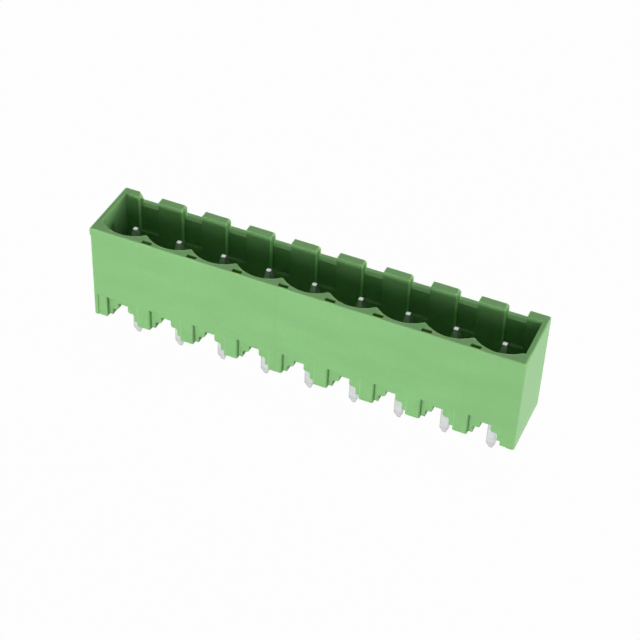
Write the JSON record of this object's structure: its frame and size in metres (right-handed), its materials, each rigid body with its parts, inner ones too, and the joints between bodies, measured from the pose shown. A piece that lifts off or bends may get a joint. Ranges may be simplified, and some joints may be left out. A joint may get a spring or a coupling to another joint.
{
  "type": "pluggable terminal block header",
  "caption": "Board-side header of a pluggable terminal block: an open socket with a scalloped front wall and a tabbed keying wall around a row of square contact pins.",
  "frame": {"origin": "on the board surface, on the pin row, below the middle pin", "axes": "+Z out of the board towards the socket mouth, +X along the pin row, -Y towards the scalloped front wall, +Y towards the tabbed latch wall"},
  "size_m": [0.0472, 0.0081, 0.0158],
  "materials": {
    "housing_green": "fine satin, as moulded",
    "pin_tin": "satin tin plating over brass"
  },
  "bodies": {
    "root": {"housing": "housing_green", "pin_1": "pin_tin", "pin_2": "pin_tin", "pin_3": "pin_tin", "pin_4": "pin_tin", "pin_5": "pin_tin", "pin_6": "pin_tin", "pin_7": "pin_tin", "pin_8": "pin_tin", "pin_9": "pin_tin"}
  },
  "joints": []
}
